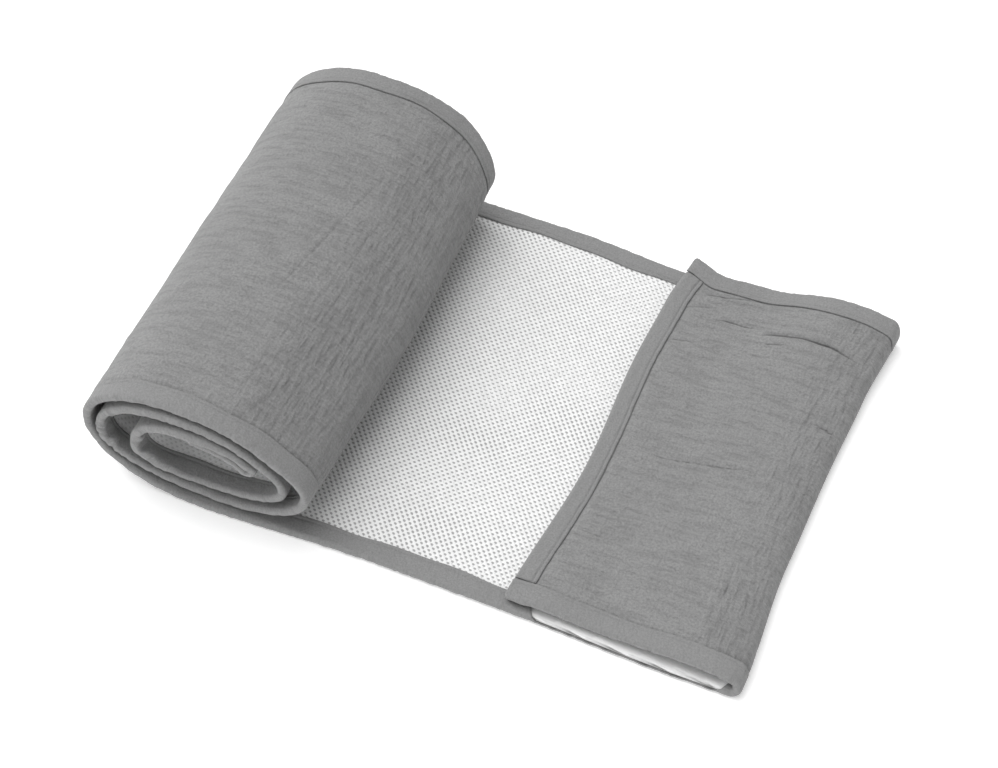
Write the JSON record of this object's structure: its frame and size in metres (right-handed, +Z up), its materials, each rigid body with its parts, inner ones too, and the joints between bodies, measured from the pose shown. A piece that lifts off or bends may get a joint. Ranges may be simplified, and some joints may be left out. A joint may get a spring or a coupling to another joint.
{
  "type": "crib bumper",
  "caption": "Long bound crib bumper of grey crinkled muslin over white spacer mesh, loosely rolled at its left end and folded back as a flap at its right end.",
  "frame": {"origin": "on the floor, under the middle of the object's bounding box", "axes": "+X along the laid-out strip, from the roll to the folded flap; +Y across the strip, from its near long edge to its far one; +Z up"},
  "size_m": [0.445, 0.3168, 0.0991],
  "materials": {
    "muslin": "matte crinkled double gauze",
    "mesh": "matte warp-knitted spacer mesh with small holes",
    "tape": "matte plain-woven cotton"
  },
  "bodies": {
    "root": {"muslin_panel": "muslin", "mesh_panel": "mesh", "binding_near": "tape", "binding_far": "tape", "binding_flap_end": "tape", "binding_inner_end": "tape"}
  },
  "joints": []
}
